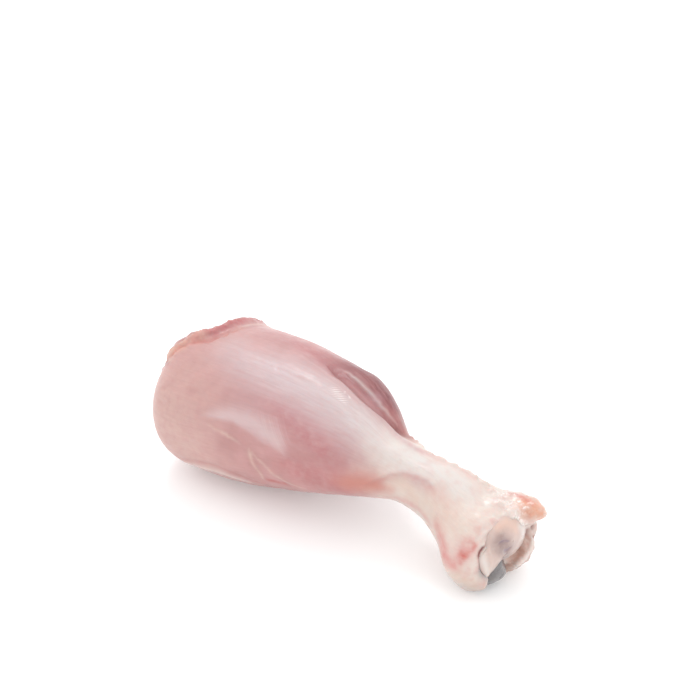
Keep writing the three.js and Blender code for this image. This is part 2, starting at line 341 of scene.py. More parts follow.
def painted(tree, base, tints):
    """A base colour under tints that were painted on: {name: (colour, what breaks it up)}."""
    for name, (tint, uneven) in tints.items():
        amount = calculate(tree, "MULTIPLY", amount_of(tree, name), uneven, clamp=True)
        base = mixed(tree, amount, base, tint)
    return base


def moisten(shader, weight, radius, depth):
    """Sets a Principled shader's steady values for damp tissue that lets light in."""
    shader.inputs["Subsurface Weight"].default_value = weight
    shader.inputs["Subsurface Radius"].default_value = radius
    shader.inputs["Subsurface Scale"].default_value = depth * MM
    shader.inputs["Coat Roughness"].default_value = 0.12
    shader.inputs["Coat IOR"].default_value = 1.36
    shader.inputs["IOR"].default_value = 1.38


# The cartilage's blue-grey is darker than its own colour: part of it is painted shade.
CARTILAGE_AND_SHADE = colour("#787473")
CARTILAGE_VEIN_AND_SHADE = colour("#686366")


def bone_material():
    material, tree, shader, place = start_material("cartilage")
    clouds = grouped(tree, MOTTLE, {"Place": place, "Size": 4.0, "Contrast": 2.0})
    patches = grouped(tree, MOTTLE, {"Place": place, "Size": 3.0, "Contrast": 1.4, "Middle": 0.8})
    tints = {"pearl": (colour("#bdb1ac"), 0.9), "flush": (colour("#a9787a"), patches)}
    base = painted(tree, mixed(tree, clouds, CARTILAGE_AND_SHADE, CARTILAGE_VEIN_AND_SHADE), tints)
    tree.links.new(base, shader.inputs["Base Color"])
    rough = grouped(tree, WET_FILM, {"Place": place, "Size": 3.0, "Contrast": 0.3, "Middle": 0.3})
    tree.links.new(rough, shader.inputs["Roughness"])
    pores = add_node(tree, "TexNoise", {"Vector": place, "Scale": 1.2, "Detail": 4.0}).outputs[0]
    bump = add_node(tree, "Bump", {"Height": pores, "Distance": 0.05 * MM, "Strength": 0.5})
    tree.links.new(bump.outputs[0], shader.inputs["Normal"])
    moisten(shader, 0.25, (1.0, 0.6, 0.5), 1.5)
    shader.inputs["Coat Weight"].default_value = 0.5
    return material


BONE_SWELL = 2.0
BONE_UNDERSIDE = (124.2, 2.6, 3.2)

bone = Skin("shin_bone", "bone", cell=0.6, rounds=10, swell=BONE_SWELL)
knee_end = 1 - ramp(bone.x, 12, 24)
uneven = bone.noise(5.0, seed=1)
bone.relief = 0.3 * ramp(bone.x, 90, 110) + 0.2 * uneven - BONE_SWELL - 0.2 * knee_end
bone.relief += 1.8 * bone.spot(BONE_UNDERSIDE, 3.3)
bone.tint("pearl", knee_end)
bone.tint("flush", knee_end * ramp(bone.noise(6.0, seed=2), -0.2, 0.6) * 0.35)
bone.finish()
bone.piece.data.materials.append(bone_material())
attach(bone.piece, "root")
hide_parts("shin_bone")

# ------------------------------------------------------------------------------------------------
# Meat
#
# The muscles of the lower leg, wrapped in thin see-through membrane. A white tendon sheet runs
# down the ridge and narrows to a cord, and the neck and the ankle are creamy with fat and gristle.
# The knee end is cut across, and the ankle end is torn round the gristle cap.

meat = Skin("meat", "flesh", cell=0.5, rounds=16)
on_shaft = (meat.reach(bone)[1] < 2.5) & (meat.x > 16) & (meat.x < 116)
meat.thin_out(on_shaft)

broad = meat.noise(14.0, seed=2)
fine = meat.noise(4.0, seed=3, octaves=3)
meat.relief = 0.35 * broad + 0.08 * fine

# Knee end. The muscles are cut across inside a rolled, ragged lip, with membrane between them and
# a cuff of gristle round the bone. A groove runs under the lip, painted a darker red as shade.
KNEE_CUT_POINT = np.array([5, 5.7, 31.5])
KNEE_CUT_FACING = np.array([-0.77, 0.25, 0.59])
KNEE_CUT_FACING /= np.linalg.norm(KNEE_CUT_FACING)
LIP_GROOVE = [
    (9, 45), (10.9, 38), (13.4, 28), (16.5, 21), (19.4, 16), (21.4, 7), (23, -2), (24, -12),
]
LIP_TOP = [(9.5, 36), (11.3, 28), (13.8, 19), (16.5, 12), (18.5, 2), (20, -10)]
LIP_FOLD = [(10.3, 36), (12.4, 29), (14.6, 21), (17.6, 15), (19.8, 5), (21.2, -6)]
LIP_POCKET_SHADE = (16.2, 17)

behind_cut = (meat.place - KNEE_CUT_POINT) @ KNEE_CUT_FACING
towards_cut = meat.normal @ KNEE_CUT_FACING + 0.06 * meat.noise(5.0, seed=15)
at_knee = ramp(behind_cut, -7, -5) * (1 - ramp(meat.x, 22, 34))
cut = ramp(towards_cut, 0.58, 0.7) * at_knee
cut_edge = np.exp(-(((towards_cut - 0.58) / 0.05) ** 2)) * at_knee
off_bone = meat.reach(bone)[1]
cuff = np.exp(-((off_bone / 2.4) ** 2)) * (1 - ramp(meat.x, 20, 30))
lip = np.exp(-(((behind_cut + 2.6) / 1.8) ** 2)) * (1 - cut) * (1 - ramp(meat.x, 20, 30))
lip_top = meat.stroke(LIP_TOP, 2.0, taper=0.3)
lip_groove = meat.stroke(LIP_GROOVE, 0.7, taper=0.5)
lip_fold = meat.stroke(LIP_FOLD, 0.7, taper=0.6)
between_muscles = meat.noise(8.0, seed=17)
cut_seams = np.exp(-((between_muscles / 0.06) ** 2)) * ramp(off_bone, 2, 5)

ragged = meat.noise(3.0, seed=8, octaves=3)
meat.relief += cut * (0.45 * meat.noise(2.4, seed=7, octaves=3) - 0.4 * cut_seams) + 0.25 * cut_edge
meat.relief += lip * (0.2 + 0.5 * ragged) + lip_top * (0.5 + 0.3 * ragged)
meat.relief += 0.7 * cuff - 0.6 * lip_groove - 0.45 * lip_fold
meat.tint("cut_face", cut)
meat.tint("gristle", 0.9 * cuff, 0.6 * cut_seams * cut, 0.5 * cut_edge)
meat.tint("peach", 0.9 * lip * ramp(meat.angle, 5, 30), 0.8 * lip_top * ramp(meat.angle, 5, 22))
# The lip's right side is a deeper pink, partly its own colour and partly painted shade.
meat.tint("flush", 0.8 * lip * ramp(meat.angle, 25, 5), 0.8 * lip_top * ramp(meat.angle, 20, 8))
# Painted shade: darker red in the lip's fold and pocket and in the groove under it.
meat.tint("flush", 0.7 * lip_fold, 0.6 * meat.spot(LIP_POCKET_SHADE, 1.8))
meat.tint("blood", 0.4 * lip_groove, 0.2 * lip_top * ramp(meat.angle, 18, 6))
meat.tint("blood", 0.2 * lip * ramp(fine, 0.15, 0.5))

# Belly. Beige near the knee, then rosy, under films of membrane: a lavender one along the top and
# a second one in an arc below it. Fat shows through as a few pale lines.
FILM_EDGE = [(33, 71), (41.7, 69), (45.4, 72), (49.6, 76), (54, 80), (58.4, 83), (61, 90)]
FILM = [(32, 70), (39.2, 67), (43.5, 65), (48, 66), (52.6, 70), (56.8, 75), (59.4, 82)]
FILM_END = [(51, 60), (55, 65), (57.5, 72), (59, 80)]
FIBRES_FACING = (0.80, 0.21, 0.54)
FAT_START = (48.2, 91)
LAVENDER = [(29, 18), (36, 23), (46, 23), (56, 24), (66, 27), (76, 29), (84, 30)]
BAND = [(53, 14), (60, 16), (68, 19), (76, 23), (84, 26)]
BAND_END = [(73, 21), (79, 24), (85, 27)]
FLUSH = [(37.8, 51), (44.3, 49), (51.2, 48), (57.7, 52), (63.9, 57), (70.7, 64), (77, 70), (84, 74)]
FLUSH_CORE = [(50, 48), (57, 52), (64, 58), (70, 66), (74, 74)]
LOW_FLUSH = [(60, 92), (68, 98), (76, 104), (82, 112)]
# Along the hidden top edge the pink is deepened, partly its own colour and partly painted shade.
TOP_ROSE_AND_SHADE = [(22, -18), (40, -18), (56, -20)]
TOP_FLUSH_AND_SHADE = [(42, -17), (54, -17), (64, -14)]
RED_PATCH = [(52.5, 117), (55.1, 116), (57.8, 117)]
BELLY_FAT = [
    [(47.8, 86), (48.3, 93), (48.6, 98), (50.2, 104), (51, 109), (50.6, 117)],
    [(48.8, 89), (51, 94), (53.1, 98), (55.4, 104), (57.6, 109), (60.3, 114), (65, 117)],
    [(33.8, 76), (36.9, 78), (40, 79), (44.7, 84)],
]
RIM = [(17, 128), (25, 123), (31, 120), (36.7, 120), (41.5, 124), (48, 131)]
# Painted highlights: white glints in waves over fine ripples of the tendon band, and a short glint
# line on its edge.
RIPPLE_HIGHLIGHTS = [(64.3, 12), (66.5, 14), (69.2, 17)]
RIPPLE_FACING = (0.71, -0.60, -0.37)
RIPPLE_GAP = 0.79
RIPPLE_GLINT = [(66.6, 6), (68.1, 8), (69.5, 9)]

film = meat.stroke(FILM, 3.4, taper=0.8)
film *= ramp(meat.angle - np.interp(meat.x, *np.transpose(FILM_EDGE)), 2, -2.5)
film_end = meat.stroke(FILM_END, 3.0, taper=0.5)
belly_fat = layered(*(meat.stroke(stations, 0.6, taper=0.6) for stations in BELLY_FAT))
rim = meat.stroke(RIM, 1.6, taper=0.8)
meat.relief += 0.12 * film + 0.15 * belly_fat + 0.3 * rim
# Under the rim fold the surface dips and is painted a deeper pink as shade.
rim_shade = meat.stroke([(x, a - 8) for x, a in RIM], 1.0, taper=0.8)
meat.relief -= 0.25 * rim_shade
meat.tint("beige", (1 - ramp(meat.x + 6 * broad, 22, 46)) * np.maximum(meat.facing(88, 58), 0.35))
meat.tint("rose", 0.55 * meat.stroke(FLUSH, 5.5, taper=0.4))
# Deeper pink along the top edge: partly its own colour, partly painted shade.
meat.tint("rose", 0.6 * meat.stroke(TOP_ROSE_AND_SHADE, 7.0, taper=0.3))
meat.tint(
    "flush",
    0.8 * meat.stroke(FLUSH_CORE, 4.2, taper=0.5),
    0.6 * meat.stroke(LOW_FLUSH, 6.0, taper=0.3),
    # Painted shade along the top edge, with the pink of the flesh.
    0.55 * meat.stroke(TOP_FLUSH_AND_SHADE, 4.0, taper=0.4),
    0.9 * meat.stroke(RED_PATCH, 1.2),
    0.25 * rim_shade,
)
meat.tint("lavender", meat.stroke(LAVENDER, 9.0, taper=0.4))
meat.tint("silver", 0.25 * meat.stroke(BAND, 5.5, taper=0.6))
meat.tint("silver", 0.4 * meat.stroke(BAND_END, 5.5, taper=0.3))
meat.tint("film", 0.75 * film)
meat.tint("film_end", 0.5 * film_end)
meat.tint("fat", 0.45 * belly_fat, 0.4 * meat.spot(FAT_START, 1.0))
# The rim fold is pale and carries a painted highlight along it.
meat.tint("pale_and_highlight", 0.5 * rim)
# Painted highlights on the band's ripples and along its edge.
meat.tint("ripple_highlight", 0.65 * meat.stroke(RIPPLE_HIGHLIGHTS, 1.2, taper=0.4))
meat.tint("painted_glint", 0.5 * meat.stroke(RIPPLE_GLINT, 0.4, taper=0.5))
meat.tint("blood", 0.25 * meat.stroke(RED_PATCH, 0.9))

# Back muscle. It lies behind a furrow in the top, bare and dark red, with a thin pale tendon on it.
FURROW = [(55, -17), (60, -13), (66, -8), (72, -7), (77, -16), (82, -38), (86, -52)]
BACK_TENDON = [(60, -24), (65, -24), (70, -26), (75, -31), (80, -40)]
BACK_FLUSH = [(60, -18), (66, -14), (72, -14), (77, -20), (82, -26)]
BACK_MAUVE = (72, -28)
BACK_END = [(76, -34), (80.5, -42), (84.5, -48)]
furrow = meat.stroke(FURROW, 1.3, taper=0.7)
meat.relief += 0.2 * meat.stroke(BACK_TENDON, 0.7, taper=0.6) - 0.6 * furrow
# The bare back muscle is dark red, partly its own colour and partly painted shade.
meat.tint("bare_and_shade", meat.facing(-46, 31) * ramp(meat.x, 46, 62) * (1 - ramp(meat.x, 80, 90)))
meat.tint("flush", 0.55 * meat.stroke(BACK_FLUSH, 3.0, taper=0.5))
meat.tint("mauve", 0.5 * meat.spot(BACK_MAUVE, 2.4))
meat.tint("silver", 0.5 * meat.stroke(BACK_TENDON, 0.7, taper=0.6))
# Painted shade: the furrow darkened.
meat.tint("crevice_shade", 0.45 * furrow)

# Far side and underside. Long muscles lie side by side with fat in the furrows between them, and
# thin tendon sheets and small veins over them.
FAR_FURROWS = [
    [(16, -92), (30, -103), (45, -110), (60, -112), (74, -106), (84, -96)],
    [(20, -150), (36, -154), (52, -157), (68, -160), (82, -166)],
    [(48, -60), (58, -66), (68, -72), (78, -76)],
]
FAR_SHEETS = [
    [(54, -84), (64, -88), (74, -90), (86, -92)],
    [(56, -128), (66, -132), (76, -136), (88, -140)],
    [(56, 168), (68, 166), (80, 160)],
]
FAR_FILM = [(22, -70), (36, -84), (50, -92)]
FAR_VEINS = [
    [(26, -66), (33, -74), (41, -72), (49, -80), (57, -78), (66, -84)],
    [(41, -72), (46, -62), (54, -58)],
    [(24, -122), (33, -128), (44, -126), (52, -134), (62, -134)],
    [(33, -128), (39, -140), (48, -144)],
]
far_furrows = layered(*(meat.stroke(stations, 1.2, taper=0.9) for stations in FAR_FURROWS))
far_fat = layered(*(meat.stroke(stations, 1.6, taper=0.9) for stations in FAR_FURROWS))
far_fat *= ramp(meat.noise(7.0, seed=12), -0.1, 0.25)
meat.relief += 0.3 * far_fat - 0.8 * far_furrows
meat.tint("rose", 0.7 * meat.facing(-95, 30) * ramp(meat.x, 16, 40), 0.6 * meat.facing(-160, 28))
meat.tint("bare_and_shade", 0.45 * meat.facing(-128, 14) * ramp(meat.x, 20, 40) * (1 - ramp(meat.x, 60, 80)))
meat.tint("silver", *(0.7 * meat.stroke(stations, 4.2, taper=0.4) for stations in FAR_SHEETS))
meat.tint("film", 0.6 * meat.stroke(FAR_FILM, 5.0, taper=0.4))
meat.tint("fat", 0.65 * far_fat)
# Painted shade in the far furrows where no fat fills them.
meat.tint("crevice_shade", 0.35 * far_furrows * (1 - far_fat))
meat.tint("vein", *(0.45 * meat.stroke(stations, 0.5, taper=0.9) for stations in FAR_VEINS))

# Neck. A white tendon sheet ends below in an arch, with pink and pale patches under it. Beads of
# fat stand along the far edge, and cords of tendon run down the far side.
SHEET = [(74, 18), (81, 22), (88, 24), (95, 20), (102, 16), (109, 10)]
ARCH = [(82, 98), (84.4, 87), (87, 74), (91.2, 54), (95.3, 42), (99.5, 38), (103, 36)]
ARCH_SHADE = [(84.5, 96), (88.3, 78), (91.8, 61), (95.6, 50), (99.4, 46), (103.3, 45)]
BEAD_LINE = [
    (84, -50), (88, -52), (93, -34), (97, -24), (101, -27), (108, -30), (114, -36), (121, -32),
]
BEAD_GAP = 2.0
CORDS = [
    [(84, -96), (95, -104), (106, -112), (114, -118)],
    [(86, -150), (98, -156), (110, -160), (118, -158)],
]
MAUVE_TOP = [(80, -10), (83, -7), (86.7, -7), (90.4, -10), (94, -12)]
MAUVE_SIDE = [(95, 57), (98.9, 55), (103, 48)]
SALMON_PATCH = [(76, 97), (80, 97), (84.5, 96), (88.5, 100)]
PALE_PATCH = [(89, 85), (92.4, 72), (95, 76), (98, 84)]
WARM_SIDE = [(98, 84), (104, 68), (111, 58), (116, 50)]

# How strong, how wide, how tapered and where each blush is.
NECK_BLUSHES = [
    (0.35, 2.2, 0.4, [(101, 56), (105, 46), (110, 38)]),
    (0.55, 1.5, 0.4, [(84, 140), (89.9, 126), (94.2, 113), (98.4, 105), (105.6, 94)]),
    (0.2, 2.0, 0.3, [(92, -14), (101, -20), (112, -24)]),
    (0.5, 3.0, 0.3, [(88, -128), (100, -136), (112, -138)]),
    (0.5, 4.0, 0.3, [(95, 160), (108, 172), (116, 178)]),
]

back_end = meat.stroke(BACK_END, 3.2, taper=0.3)
neck = ramp(meat.x + 2.0 * fine, 76, 90) * (1 - 0.7 * back_end)
# The surface dips under the arch's step, and the mauve and blush along that dip are painted shade.
arch_shade = meat.stroke(ARCH_SHADE, 1.3, taper=0.8)
meat.relief += 0.42 * meat.stroke(ARCH, 0.9, taper=0.6) - 0.4 * arch_shade
meat.relief += sum(0.6 * meat.stroke(stations, 1.4, taper=0.5) for stations in CORDS)
beads = np.random.default_rng(4)
bead_x, bead_angle = np.transpose(BEAD_LINE)
for along in np.arange(85, 122, BEAD_GAP):
    x = along + beads.uniform(-0.6, 0.6)
    place = (x, np.interp(x, bead_x, bead_angle) + beads.uniform(-6, 6))
    meat.relief += beads.uniform(0.4, 0.9) * meat.spot(place, beads.uniform(0.8, 1.3))
meat.tint("cream", neck)
meat.tint("silver", 0.9 * neck * meat.stroke(SHEET, 6.0, taper=0.1))
meat.tint("silver", neck * sum(0.5 * meat.stroke(stations, 1.6) for stations in CORDS))
meat.tint(
    "mauve",
    0.6 * meat.stroke(MAUVE_TOP, 1.7, taper=0.6),
    0.45 * meat.stroke(MAUVE_SIDE, 1.8, taper=0.5),
    0.4 * arch_shade,
)
meat.tint("salmon", 0.9 * meat.stroke(SALMON_PATCH, 4.2, taper=0.5))
meat.tint("fat", 0.7 * meat.stroke(PALE_PATCH, 2.2, taper=0.3))
meat.tint("knob", 0.5 * meat.stroke(WARM_SIDE, 6.0, taper=0.3))
mottling = ramp(meat.noise(3.6, seed=13, octaves=3), -0.3, 0.6)
meat.tint("blush", 0.2 * neck * mottling, 0.4 * arch_shade, 0.4 * back_end)
for strength, width, taper, stations in NECK_BLUSHES:
    meat.tint("blush", strength * meat.stroke(stations, width, taper))

# Ankle. A smooth knob of gristle bulges on one side. A slit and a mauve seam part it from the cap,
# a bloody spot shows through it, and above the cap the tissue is wet, lumpy and torn. A reddish
# lobe sticks out over the cap, and a brownish flap hangs under it.
SLIT = [
    (123.9, -7.2, 19.0), (123.7, -8.3, 18.6), (123.5, -9.3, 18.0), (123.4, -10.1, 16.9),
    (123.6, -10.0, 15.5),
]
KNOB_SEAM = [
    (123.6, -10.0, 15.5), (123.7, -9.4, 13.5), (123.9, -9.1, 11.5), (124.2, -8.6, 9.6),
    (124.3, -6.8, 7.1),
]
KNOB_FLUSH = [(108, 78), (112.2, 83), (114.3, 87), (116.5, 90), (118.5, 93)]
KNOB_WARM = [(119, 103), (121, 112), (122.5, 124)]
KNOB_EDGE = [(124, 103), (123.8, 124)]
KNOB_UNDERSIDE_SHADE = [(118, 128), (122, 136)]
KNOB_CORNER = (123.6, -8.2, 5.0)
KNOB_CORNER_SHIFT = [1.0, 0.3, -0.6]
CAP_FOLD = [
    (124.3, 2.4, 23.3), (124.2, -1.0, 23.2), (123.8, -3.3, 22.4), (123.7, -5.5, 20.5),
    (123.7, -7.0, 19.3),
]
CAP_FOLD_RED = (124.2, -1.0, 23.2)
CAP_BORDER = [(125.2, 5.2, 22.1), (126.0, 6.5, 20.6), (126.4, 8.4, 18.4), (126.2, 8.8, 15.6)]
BLOTCH = [
    (119.4, -11.1, 20.2), (121, -9.8, 20.8), (122.2, -9.8, 19.6), (121.7, -11.2, 18.7),
    (120.7, -12.2, 17.9), (120.4, -13.0, 16.0), (119.4, -13.4, 16.1), (119.0, -12.6, 18.2),
    (119.4, -11.1, 20.2),
]
BLOTCH_MIDDLE = (120.7, -11.7, 18.6)
BLOTCH_HEART = (120.2, -12.9, 16.8)
BLOTCH_LOW = (119.7, -13.4, 14.6)
RIDGES = [
    [
        (124.5, 2.1, 23.2), (124.2, -1.5, 22.9), (123.6, -4.2, 21.6), (123.4, -6.2, 20.3),
        (123.3, -8.0, 19.4),
    ],
    [
        (123.7, 1.2, 24.1), (123.4, -2.4, 23.7), (122.5, -5.4, 22.4), (122.2, -7.9, 20.9),
        (122.5, -10.1, 18.9),
    ],
]
# Where small white glints are painted on the wet tissue above the cap.
PAINTED_GLINTS = [
    (117.8, 9.3, 24.3), (118.8, 9.6, 24.1), (122.1, 7.2, 24.1), (122.1, 9.9, 24.5),
    (123.4, 9.3, 24.4), (126.0, 9.0, 23.7), (125.1, 5.4, 22.4), (126.0, 6.9, 21.3),
    (126.4, 8.1, 19.2),
]
NOTCHES = [(125.9, 11.8, 14.0), (126.2, 13.8, 13.8), (125.9, 11.3, 12.6), (125.9, 14.4, 9.6)]
NOTCH_RED = (127.5, 11.5, 17.5)
LOBE = [(124, 10, 23.8), (127.5, 9.8, 23.2), (131.7, 11.6, 22.4)]
LOBE_RIDGE = [(119.6, 10.9, 24.6), (122.1, 11.1, 24.9), (124.6, 11.0, 24.7), (127.5, 10.8, 24.4)]
FLAP = [(124.5, 5.3, 3.0), (125.4, 6.1, 6.9), (126.4, 8.0, 9.1), (126.8, 11.0, 10.8)]
FLAP_RIM = [
    (125.2, 6.9, 3.0), (126.8, 6.8, 5.7), (127.7, 8.4, 7.3), (128.0, 9.9, 8.3),
    (127.5, 13, 10.5),
]
FLAP_STREAKS_FACING = np.array([0.3, 0.75, 0.6])
FLAP_STREAK_GAP = 1.3
FLAP_END = (124.0, 3.2, 3.6)
FLAP_END_SHIFT = [-2.4, 0, 0.3]
LUMPS = 18

torn = ramp(meat.x, 112, 123)
slit = meat.stroke(SLIT, 0.5, taper=0.5)
knob_seam = meat.stroke(KNOB_SEAM, 0.9, taper=0.4)
cap_fold = meat.stroke(CAP_FOLD, 0.9, taper=0.4)
notches = layered(*(meat.spot(place, 0.75) for place in NOTCHES))
flap = meat.stroke(FLAP, 4.0, taper=0.2) * ramp(meat.x, 121, 124)
flap_rim = meat.stroke(FLAP_RIM, 0.7, taper=0.2)
border = meat.stroke(CAP_BORDER, 1.0, taper=0.2)
ridges = layered(*(meat.stroke(stations, 0.55, taper=0.5) for stations in RIDGES))
painted_glints = layered(*(meat.spot(place, 1.1) for place in PAINTED_GLINTS))
crumpled = torn * (0.4 - 0.32 * meat.facing(85, 50))
meat.relief += crumpled * meat.noise(2.6, seed=6, octaves=3)
meat.relief += 0.3 * ridges + 0.3 * flap_rim + 0.35 * border
meat.relief -= 0.3 * slit + 0.2 * knob_seam + 0.8 * notches + 0.3 * cap_fold
streaks = np.sin((meat.place @ FLAP_STREAKS_FACING) * math.tau / FLAP_STREAK_GAP)
meat.relief += flap * (0.4 + 0.1 * streaks)
lumps = np.random.default_rng(9)
wet = 0.0
for _ in range(LUMPS):
    place = (lumps.uniform(117, 126.5), lumps.uniform(-42, -4))
    lump = meat.spot(place, lumps.uniform(0.7, 1.4))
    meat.relief += lumps.uniform(0.25, 0.6) * lump
    wet = layered(wet, lump)

meat.tint("cream", 0.6 * border, 0.8 * flap_rim)
# Painted highlights: small white glints.
meat.tint("painted_glint", 0.8 * painted_glints)
# Painted highlights: the pale tint on the wet lumps and along the flap's rim. On the ridges and the
# border it is pale membrane.
meat.tint("pale_and_highlight", 0.35 * wet, 0.4 * ridges, 0.7 * border, 0.7 * flap_rim)
meat.tint("pale_and_highlight", 0.5 * meat.spot(LOBE[-1], 1.2))
meat.tint("flap", flap * (1 - flap_rim))
meat.tint("lobe", 0.9 * meat.stroke(LOBE, 3.4) * ramp(meat.x, 121, 125))
meat.tint("knob", 0.8 * meat.stroke(KNOB_WARM, 3.4, taper=0.2))
meat.tint("grey", 0.6 * knob_seam * ramp(meat.up, 2, -4))
meat.tint("grey", 0.5 * meat.stroke(KNOB_EDGE, 1.6, taper=0.2))
# Grey under the knob: partly its own see-through grey, partly painted shade.
meat.tint("grey", 0.25 * meat.stroke(KNOB_UNDERSIDE_SHADE, 4.0, taper=0.2))
meat.tint(
    "blush",
    layered(*(0.8 * meat.stroke(KNOB_FLUSH, width, taper=0.3) for width in (1.6, 2.8))),
    0.5 * meat.stroke(BLOTCH, 1.6),
    0.5 * meat.spot(BLOTCH_MIDDLE, 2.0),
    0.35 * torn * ramp(meat.noise(3.0, seed=9), 0.0, 0.5),
    0.9 * cap_fold,
)
meat.tint(
    "blood",
    0.4 * meat.stroke(BLOTCH, 0.6) * ramp(meat.noise(2.2, seed=19), -0.3, 0.3),
    0.9 * meat.spot(BLOTCH_HEART, 1.3),
    0.4 * meat.spot(BLOTCH_LOW, 0.8),
    0.6 * meat.stroke(LOBE_RIDGE, 1.0, taper=0.3),
    0.4 * meat.spot(NOTCH_RED, 2.2),
    0.35 * knob_seam * ramp(meat.up, -3, 3),
    0.3 * meat.spot(CAP_FOLD_RED, 0.8),
)
# Painted shade in the slit and the notches.
meat.tint("crevice_shade", slit, 0.75 * notches)
meat.tint("wet", wet, 0.6 * torn * meat.facing(-28, 26), 0.5 * cut)
meat.finish()

# The flap ends short of the bone's underside, and the knob comes forward beside it.
flap_back = np.outer(meat.spot(FLAP_END, 2.8), FLAP_END_SHIFT)
knob_forward = np.outer(meat.spot(KNOB_CORNER, 2.6), KNOB_CORNER_SHIFT)
meat.move(flap_back + knob_forward)

# The muscle fibres run along the leg and draw together as it narrows. Their marks are ten times as
# long as wide.
GRAIN_SCALE = (0.1, 1, 1)
gather = max(HALF) / meat.half
grain = np.column_stack([meat.x, meat.across * gather, meat.up * gather])
stored_grain = meat.piece.data.attributes.new("grain", "FLOAT_VECTOR", "POINT")
stored_grain.data.foreach_set("vector", grain.ravel())

MUSCLE = colour("#b88c8a")
MUSCLE_DARK = colour("#ab7f7d")


def distance_along(tree, place, direction):
    """How far a place lies along a direction."""
    dot = add_node(tree, "VectorMath", {0: place, 1: direction}, operation="DOT_PRODUCT")
    return dot.outputs["Value"]


def meat_material():
    material, tree, shader, place = start_material("meat")
    grain = add_node(tree, "Attribute", {}, attribute_name="grain").outputs["Vector"]
    drawn = add_node(tree, "VectorMath", {0: grain, 1: GRAIN_SCALE}, operation="MULTIPLY")
    along = drawn.outputs[0]
    strands = grouped(tree, MOTTLE, {"Place": along, "Size": 1.3, "Contrast": 0.9, "Middle": 0.9})
    blotches = grouped(tree, MOTTLE, {"Place": place, "Size": 2.4, "Contrast": 2.2, "Middle": 0.8})
    patches = grouped(tree, MOTTLE, {"Place": place, "Size": 2.2, "Contrast": 1.4, "Middle": 0.85})
    whole = 1.0
    over_fibres = distance_along(tree, place, FIBRES_FACING)
    fibres = grouped(tree, MOTTLE, {"Place": over_fibres, "Size": 0.95, "Contrast": 3.0})
    # Waves of painted highlight over the ripples.
    phase = distance_along(tree, place, [part * math.tau / RIPPLE_GAP for part in RIPPLE_FACING])
    drift = grouped(tree, MOTTLE, {"Place": place, "Size": 2.0, "Contrast": 5.0})
    waves = calculate(tree, "SINE", calculate(tree, "ADD", phase, drift), 0.0, clamp=True)
    glints = grouped(tree, MOTTLE, {"Place": place, "Size": 0.9, "Contrast": 9.0, "Middle": 0.1})
    tissues = {
        "beige": (colour("#bd9c95"), patches),
        "rose": (colour("#ab7f80"), blotches),
        "flush": (colour("#a86568"), blotches),
        "lavender": (colour("#bca9ab"), strands),
        "film": (colour("#c3adae"), whole),
        "film_end": (colour("#c8b2b2"), fibres),
        "bare_and_shade": (colour("#74393e"), strands),
        "cream": (colour("#cdc0b8"), whole),
        "silver": (colour("#cac4c1"), strands),
        "mauve": (colour("#b08b8f"), patches),
        "blush": (colour("#c48884"), patches),
        "peach": (colour("#cfa99a"), patches),
        "salmon": (colour("#b97b70"), whole),
        "lobe": (colour("#cc8b6d"), patches),
        "flap": (colour("#9f796b"), patches),
        "knob": (colour("#c3ac9e"), patches),
        "fat": (colour("#c9b1a4"), patches),
        "pale_and_highlight": (colour("#d9cfc9"), whole),
        # Painted highlights: small glints, and the shine on the band's ripples.
        "painted_glint": (colour("#efe9e6"), glints),
        "ripple_highlight": (colour("#efe9e6"), waves),
        "cut_face": (colour("#9c6563"), patches),
        "gristle": (colour("#c5b3a9"), patches),
        "grey": (colour("#8f8688"), whole),
        "vein": (colour("#8a5357"), patches),
        "blood": (colour("#b9584f"), patches),
        "crevice_shade": (colour("#703230"), whole),
    }
    clouds = grouped(tree, MOTTLE, {"Place": place, "Size": 7.0, "Contrast": 2.4})
    base = painted(tree, mixed(tree, clouds, MUSCLE, MUSCLE_DARK), tissues)

    # Fine fibres show everywhere as slightly lighter and darker lines.
    lines = grouped(tree, MOTTLE, {"Place": along, "Size": 0.7, "Contrast": 1.2})
    light = add_node(tree, "MapRange", {"Value": lines, "To Min": 0.95, "To Max": 1.06}).outputs[0]
    base = mixed(tree, 1.0, base, light, "MULTIPLY")
    tree.links.new(base, shader.inputs["Base Color"])

    # Wet tissue is smoother and has more of a clear coat.
    wet = amount_of(tree, "wet")
    film = grouped(tree, WET_FILM, {"Place": place, "Size": 3.0, "Contrast": 0.4, "Middle": 0.45})
    smoothed = calculate(tree, "MULTIPLY", wet, 0.28)
    rough = calculate(tree, "SUBTRACT", film, smoothed, clamp=True)
    tree.links.new(rough, shader.inputs["Roughness"])
    coat = add_node(tree, "MapRange", {"Value": wet, "To Min": 0.22, "To Max": 1.0}).outputs[0]
    tree.links.new(coat, shader.inputs["Coat Weight"])
    grit = add_node(tree, "TexNoise", {"Vector": place, "Scale": 0.9, "Detail": 5.0}).outputs[0]
    height = calculate(tree, "ADD", calculate(tree, "MULTIPLY", lines, 0.5), grit)
    bump = add_node(tree, "Bump", {"Height": height, "Distance": 0.12 * MM, "Strength": 0.6})
    tree.links.new(bump.outputs[0], shader.inputs["Normal"])
    moisten(shader, 0.3, (1.0, 0.4, 0.3), 1.6)
    return material


meat.piece.data.materials.append(meat_material())
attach(meat.piece, "root")
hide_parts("meat")

# ------------------------------------------------------------------------------------------------
# Gristle cap
#
# A smooth pad of gristle over the ankle joint, ivory at its rim and grey where it is thin. It is
# held by the torn tissue round it.

